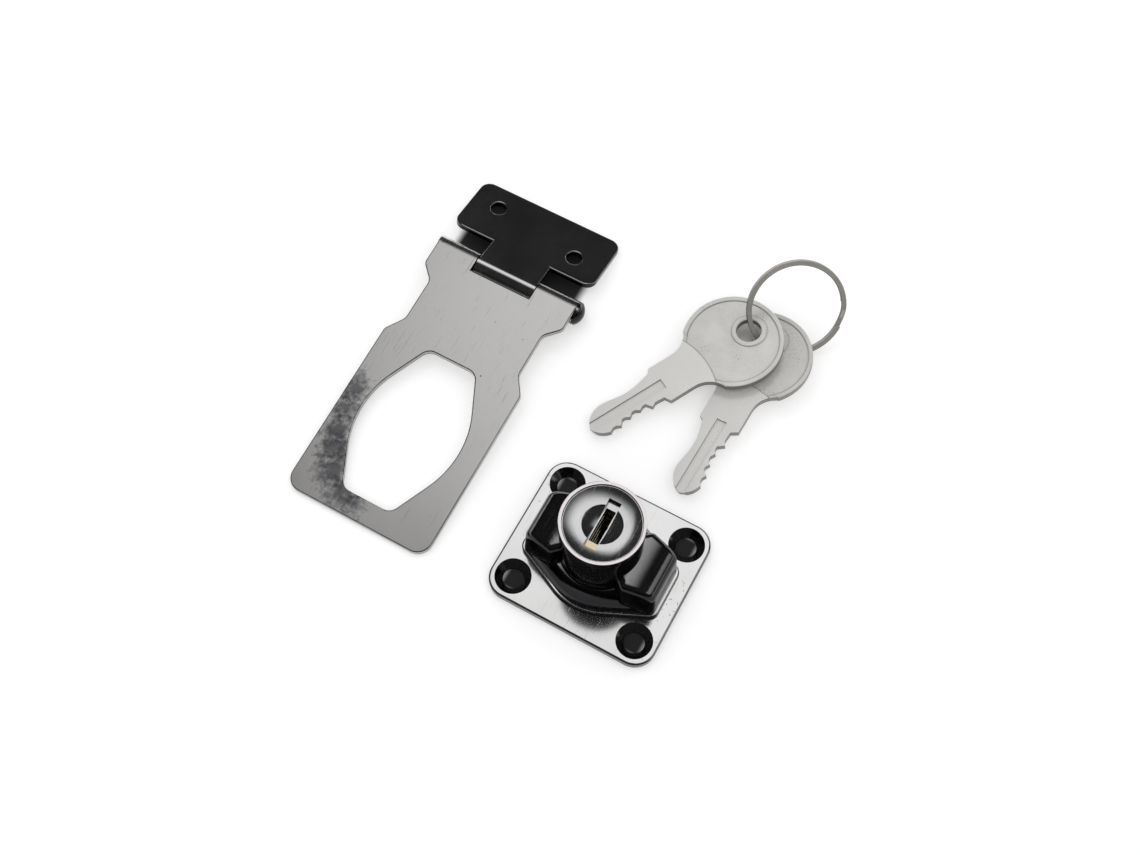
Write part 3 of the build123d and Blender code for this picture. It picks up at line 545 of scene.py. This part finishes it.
def face_color(tree, bright, clouds, marks, uneven, scratches):
    """Bright colour, clouded by the mottle and lighter in the scratches; gives its output socket."""
    darker = tuple(c * (1 - cloud_contrast * uneven) for c in bright)
    lighter = tuple(min(1.0, c * (1 + cloud_contrast * uneven)) for c in bright)
    color = mix_color(tree, step_in(tree, clouds, *cloud_range), darker, lighter)
    return mix_color(tree, math_in(tree, "MULTIPLY", marks, scratches), color, lighter)


def with_spots(tree, color, spots):
    """Lay spots and ring lines over a colour; each has its colour, strength and group's values."""
    for spot_color, strength, values in spots:
        mark = use_group(tree, line_group if "Width" in values else spot_group, **values)
        color = mix_color(tree, math_in(tree, "MULTIPLY", mark, strength), color, spot_color)
    return color


print("helpers:", face_color.__name__, with_spots.__name__)

# %% [markdown]
# What a metal feels like is its roughness and its relief. The roughness follows the mottle and grows
# in the scratches. A very small bump does the same for the relief: real scratches are shallow, and a
# deeper bump would make the chrome look hammered.

# %% Touch of a metal's face
roughness_range = (0.25, 0.75)
scratch_roughness = 0.12
relief_height = 0.00002


def roughen(tree, shader, clouds, marks, rough, bump):
    """Give a shader its roughness, from the first to the second value of rough, and its relief."""
    roughness = step_in(tree, clouds, *roughness_range, *rough)
    rougher = math_in(tree, "MULTIPLY", marks, scratch_roughness)
    join(tree, math_in(tree, "ADD", roughness, rougher), shader.inputs["Roughness"])
    relief = node_in(tree, "ShaderNodeBump", Strength=bump, Distance=relief_height)
    join(tree, math_in(tree, "SUBTRACT", clouds, marks), relief.inputs["Height"])
    join(tree, relief.outputs["Normal"], shader.inputs["Normal"])


print("helper:", roughen.__name__)

# %% [markdown]
# The recipe asks for two colours and a range of roughness. Everything else has a value that suits
# plain plated metal, so a finish only names what is special about it. The second colour is the painted
# shade of the steep walls, and it goes on last, over the marks of the face.


# %% Metal recipe
def metal(
    name,
    bright,
    wall_shade,
    rough,
    metallic=1.0,
    walls=(0.35, 0.75),
    mottle_scale=60.0,
    grain=0.3,
    uneven=0.06,
    scratches=0.1,
    sparse=0.66,
    speck_color=(0.1, 0.1, 0.1),
    speck_size=0.0,
    speck_cells=900.0,
    cluster=0.55,
    bump=0.15,
    spots=(),
):
    """Plated metal: bright is its face colour, the second colour a painted shade for its steep walls,
    walls their range.
    """
    material = bpy.data.materials.new(name)
    material.use_nodes = True
    tree = material.node_tree
    shader = tree.nodes["Principled BSDF"]
    shader.inputs["Metallic"].default_value = metallic
    wall_shade_mask = use_group(tree, wall_shade_group, Start=walls[0], End=walls[1])
    clouds = use_group(tree, mottle_group, Broad_Scale=mottle_scale, Grain=grain)
    marks = use_group(tree, scratch_group, Sparse=sparse)
    color = face_color(tree, bright, clouds, marks, uneven, scratches)
    if speck_size:
        dots = use_group(tree, speck_group, Cells=speck_cells, Size=speck_size, Cluster=cluster)
        color = mix_color(tree, dots, color, speck_color)
    color = with_spots(tree, color, spots)
    join(tree, mix_color(tree, wall_shade_mask, color, wall_shade), shader.inputs["Base Color"])
    roughen(tree, shader, clouds, marks, rough, bump)
    return material


print("recipe:", metal.__name__)

# %% [markdown]
# The base plate is the brightest piece: thick polished chrome that mirrors the soft box, with a few
# pinholes where the plating is thin. Its sides and countersinks are painted black, a painted shade.
# Its grain and bump are kept very low, because they would break up the knob's reflection in it.

# %% Plate chrome
plate_chrome = metal(
    "plate_chrome",
    (0.93, 0.93, 0.925),
    (0.05, 0.05, 0.05),
    rough=(0.11, 0.14),
    walls=(0.6, 0.85),
    grain=0.05,
    uneven=0.02,
    scratches=0.04,
    speck_size=0.13,
    speck_cells=1100.0,
    cluster=0.57,
    bump=0.015,
)
print("finish", plate_chrome.name)

# %% [markdown]
# The knob is cast and plated in black chrome. Its faces are a dark mirror and its steep sides are
# painted nearly black, a painted shade, so only its crests and rims carry light. A casting has no
# scratches from a sheet, so it has none here.

# %% Knob chrome
knob_chrome = metal(
    "knob_black_chrome",
    (0.36, 0.36, 0.365),
    (0.022, 0.022, 0.024),
    rough=(0.08, 0.12),
    walls=(0.55, 0.93),
    grain=0.05,
    uneven=0.03,
    scratches=0.0,
    bump=0.01,
)
print("finish", knob_chrome.name)

# %% [markdown]
# The cylinder's bezel has a faint warm pink in its chrome. Its flat rim is bright and its side is
# painted black as painted shade, which makes the thin ring around the keyhole.

# %% Bezel chrome
bezel_chrome = metal(
    "bezel_chrome",
    (0.95, 0.89, 0.9),
    (0.05, 0.047, 0.05),
    rough=(0.06, 0.1),
    walls=(0.5, 0.85),
    uneven=0.02,
    bump=0.05,
)
print("finish", bezel_chrome.name)

# %% [markdown]
# The plug turns with the key. Its dished face is polished chrome, its keyway is painted dark inside as
# painted shade, and the lower notch of the keyway shows the brass core. That notch is a spot with a
# crisp edge.

# %% Plug chrome
brass_core = (0.87, 0.74, 0.52)
notch = dict(Centre_X=0.0, Centre_Y=-0.0052, Radius=0.0017, Edge=0.0003)
plug_chrome = metal(
    "plug_chrome",
    (0.84, 0.84, 0.85),
    (0.06, 0.06, 0.06),
    rough=(0.13, 0.2),
    walls=(0.3, 0.6),
    uneven=0.05,
    bump=0.1,
    spots=[(brass_core, 0.95, notch)],
)
print("finish", plug_chrome.name)

# %% [markdown]
# The strap is stamped sheet with a satin plating, duller than the plate. The arm away from the lock is
# darker, in a patch with ragged edges. One big spot would have to cross the opening, so the patch is a
# row of small ones that overlap along the arm.

# %% Dark patch on the strap's arm
arm_patch_color = (0.06, 0.06, 0.08)
arm_patch_strength = 0.72
arm_patch_places_mm = (
    (-71.6, 9.5, 5.0),
    (-70.4, 4.0, 4.6),
    (-69.3, -1.3, 4.8),
    (-67.5, -6.0, 5.0),
    (-65.0, -10.5, 5.4),
    (-60.6, -14.2, 4.8),
    (-56.6, -15.4, 3.6),
)
arm_patch_spots = []
for x, y, radius in arm_patch_places_mm:
    ragged_edge = dict(Edge=0.0035, Uneven=0.009, Noise_Scale=700.0)
    round_place = dict(Centre_X=x / 1000, Centre_Y=y / 1000, Radius=radius / 1000)
    arm_patch_spots.append((arm_patch_color, arm_patch_strength, round_place | ragged_edge))
print("arm patch spots:", len(arm_patch_spots))

# %% [markdown]
# The rest of the strap is even and grey, with a little more roughness and grain than the polished
# pieces, and with small specks and scratches from handling. Its cut sides are a darker grey, a painted
# shade.

# %% Strap chrome
strap_chrome = metal(
    "strap_satin_chrome",
    (0.7, 0.692, 0.68),
    (0.3, 0.295, 0.29),
    rough=(0.17, 0.25),
    walls=(0.1, 0.4),
    mottle_scale=35.0,
    uneven=0.04,
    scratches=0.1,
    sparse=0.7,
    speck_size=0.08,
    speck_cells=420.0,
    cluster=0.62,
    bump=0.25,
    spots=arm_patch_spots,
)
print("finish", strap_chrome.name)

# %% [markdown]
# The leaf is polished brighter than the strap, but it slopes away from the soft box, so it shows the
# dark room and only its near edges catch light. The pin is a plain rod, darker than the leaf. The
# steep sides of both are painted black, a painted shade.

# %% Leaf and pin chrome
leaf_chrome = metal(
    "leaf_chrome",
    (0.82, 0.82, 0.825),
    (0.03, 0.03, 0.03),
    rough=(0.09, 0.15),
    walls=(0.4, 0.7),
    uneven=0.04,
    scratches=0.3,
    sparse=0.7,
    bump=0.08,
)
pin_chrome = metal(
    "pin_chrome",
    (0.5, 0.5, 0.5),
    (0.03, 0.03, 0.03),
    rough=(0.08, 0.14),
    walls=(0.5, 0.9),
)
print("finishes", leaf_chrome.name, pin_chrome.name)

# %% [markdown]
# The works inside the lock are plain: brass wafers, spring steel and bare turned steel. They show when
# the lock is seen from below or through its keyway. Their steep sides get a darker painted shade, as
# on every metal here.

# %% Works
wafer_brass = metal("wafer_brass", (0.83, 0.69, 0.42), (0.6, 0.48, 0.28), rough=(0.2, 0.3))
spring_steel = metal("spring_steel", (0.6, 0.6, 0.62), (0.4, 0.4, 0.42), rough=(0.2, 0.3))
works_steel = metal(
    "works_steel",
    (0.62, 0.63, 0.65),
    (0.4, 0.4, 0.41),
    rough=(0.2, 0.32),
    scratches=0.3,
)
print("finishes", wafer_brass.name, spring_steel.name, works_steel.name)

# %% [markdown]
# The keys are nickel-plated brass, tumbled until the surface scatters light, so they are pale from
# every side. A metallic value of a half gives that: half mirror, half matt. Lines of painted shade
# follow the struck rim of the bow, the ring around its hole and the step at the neck, and the blade
# beyond the step is a little paler. All of them are circles, measured from the middle of the bow. The
# steep sides of the keys get a darker painted shade too.

# %% Lines of a key
step_shade_color = (0.24, 0.23, 0.21)
blade_color = (0.9, 0.89, 0.865)
rim_radius = 0.01095
hole_from_bow, hole_ring_radius = 0.0047, 0.0043
step_from_bow, step_radius = 0.0282, 0.02


def circle_at(centre, radius, **values):
    """Values that place a spot or a ring line at a point of the table."""
    return dict(Centre_X=centre.x, Centre_Y=centre.y, Radius=radius, **values)


def key_lines(bow, towards_ring):
    """The painted shade lines along a key's struck rims and step, and its paler blade, from its bow's
    place and its direction.
    """
    hole = bow + hole_from_bow * towards_ring
    step = bow - step_from_bow * towards_ring
    return [
        (step_shade_color, 0.7, circle_at(bow, rim_radius, Width=0.00022)),
        (step_shade_color, 0.5, circle_at(hole, hole_ring_radius, Width=0.0002)),
        (blade_color, 1.0, circle_at(step, step_radius + 0.0001, Edge=0.0001)),
        (step_shade_color, 0.75, circle_at(step, step_radius, Width=0.00024)),
    ]


print("helpers:", circle_at.__name__, key_lines.__name__)

# %% [markdown]
# Each key has its own copy of the finish, because the lines are set by its place on the table.


# %% Key nickel
def key_nickel(name, bow_mm, heading):
    """Nickel finish of the key whose bow is centred there and whose blade points away from heading."""
    turn = math.radians(heading)
    towards_ring = Vector((math.cos(turn), math.sin(turn), 0.0))
    return metal(
        name,
        (0.8, 0.79, 0.765),
        (0.22, 0.21, 0.195),
        metallic=0.5,
        rough=(0.26, 0.36),
        walls=(0.2, 0.6),
        mottle_scale=160.0,
        uneven=0.05,
        scratches=0.05,
        sparse=0.72,
        bump=0.1,
        spots=key_lines(Vector((*bow_mm, 0.0)) / 1000, towards_ring),
    )


key_1_nickel = key_nickel("key_1_nickel", (2.18, 62.34), 60.5)
key_2_nickel = key_nickel("key_2_nickel", (9.65, 63.41), 87.95)
print("finishes", key_1_nickel.name, key_2_nickel.name)

# %% [markdown]
# The split ring is spring steel wire, darker than the keys, with bright flats and sides painted dark
# as painted shade. That painted shade draws the outline of the wire, which would be lost against the
# white floor.

# %% Ring steel
ring_steel = metal(
    "ring_steel",
    (0.5, 0.48, 0.445),
    (0.1, 0.095, 0.085),
    metallic=0.5,
    rough=(0.12, 0.2),
    walls=(0.3, 0.64),
    bump=0.1,
)
print("finish", ring_steel.name)

# %% [markdown]
# Every node of the solid model keeps its shape and gets its finish here, by name. What isn't named,
# such as the cam, the bolt and the screws, is bare turned steel.

# %% Dress the nodes
wafer_count = 5
finish_of = {
    "base_plate": plate_chrome,
    "knob_body": knob_chrome,
    "cylinder_shell": bezel_chrome,
    "key_plug": plug_chrome,
    "hasp_strap": strap_chrome,
    "hinge_leaf": leaf_chrome,
    "hinge_pin": pin_chrome,
    "key_1": key_1_nickel,
    "key_2": key_2_nickel,
    "split_ring": ring_steel,
    "bolt_spring": spring_steel,
}
for number in range(1, wafer_count + 1):
    finish_of[f"wafer_{number}"] = wafer_brass
    finish_of[f"wafer_spring_{number}"] = spring_steel
for name, piece in nodes.items():
    piece.data.materials.clear()
    piece.data.materials.append(finish_of.get(name, works_steel))
print("dressed", len(nodes), "nodes")

# %% [markdown]
# The bolt's spring is the one piece of the real lock that changes shape: the bolt presses it against
# the end of its pocket when the key turns. Its solid can't do that, so a coil of the same size takes
# its place. A curve with a round bevel would give such a coil too, but a tube laid ring by ring along
# a helix shows how a mesh is made, and its faces stay where they are put.

# %% Coil of the bolt spring
coil_start, coil_end = 0.00502, 0.00715
coil_y, coil_z = 0.002995, 0.002225
wire_radius = 0.00012
coil_radius = 0.000535
coil_turns, steps_a_turn, wire_sides = 3, 24, 8
coil_steps = coil_turns * steps_a_turn
coil_travel = coil_end - coil_start - 2 * wire_radius


def wire_point(step, side):
    """Point on the wire's skin, at a step along the helix and a side round the wire."""
    turn = 2 * math.pi * step / steps_a_turn
    round_wire = 2 * math.pi * side / wire_sides
    out = coil_radius + wire_radius * math.cos(round_wire)
    middle_x = coil_start + wire_radius + step / coil_steps * coil_travel
    x = middle_x + wire_radius * math.sin(round_wire)
    return x, coil_y + out * math.cos(turn), coil_z + out * math.sin(turn)


wire_points = [wire_point(step, side) for step in range(coil_steps + 1) for side in range(wire_sides)]
print("coil of", len(wire_points), "points")

# %% [markdown]
# Each ring of points is joined to the next by a band of four-sided faces. Two flat faces close the
# ends of the wire, and only the bands are shaded smooth.

# %% Faces of the coil
last_ring = len(wire_points) - wire_sides
wire_faces = [tuple(reversed(range(wire_sides))), tuple(range(last_ring, len(wire_points)))]
for ring in range(0, last_ring, wire_sides):
    for side in range(wire_sides):
        a, b = ring + side, ring + (side + 1) % wire_sides
        wire_faces.append((a, b, b + wire_sides, a + wire_sides))
coil_mesh = bpy.data.meshes.new("bolt_spring_coil")
coil_mesh.from_pydata(wire_points, [], wire_faces)
coil_mesh.polygons.foreach_set("use_smooth", [len(face) == 4 for face in wire_faces])
coil_mesh.materials.append(spring_steel)
coil = bpy.data.objects.new("bolt_spring_coil", coil_mesh)
scene.collection.objects.link(coil)
print("coil of", len(wire_faces), "faces")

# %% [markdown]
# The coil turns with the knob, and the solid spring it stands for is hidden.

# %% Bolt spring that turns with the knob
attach(coil, "knob")
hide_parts("bolt_spring")
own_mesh(coil)
print("the coil stands for bolt_spring")
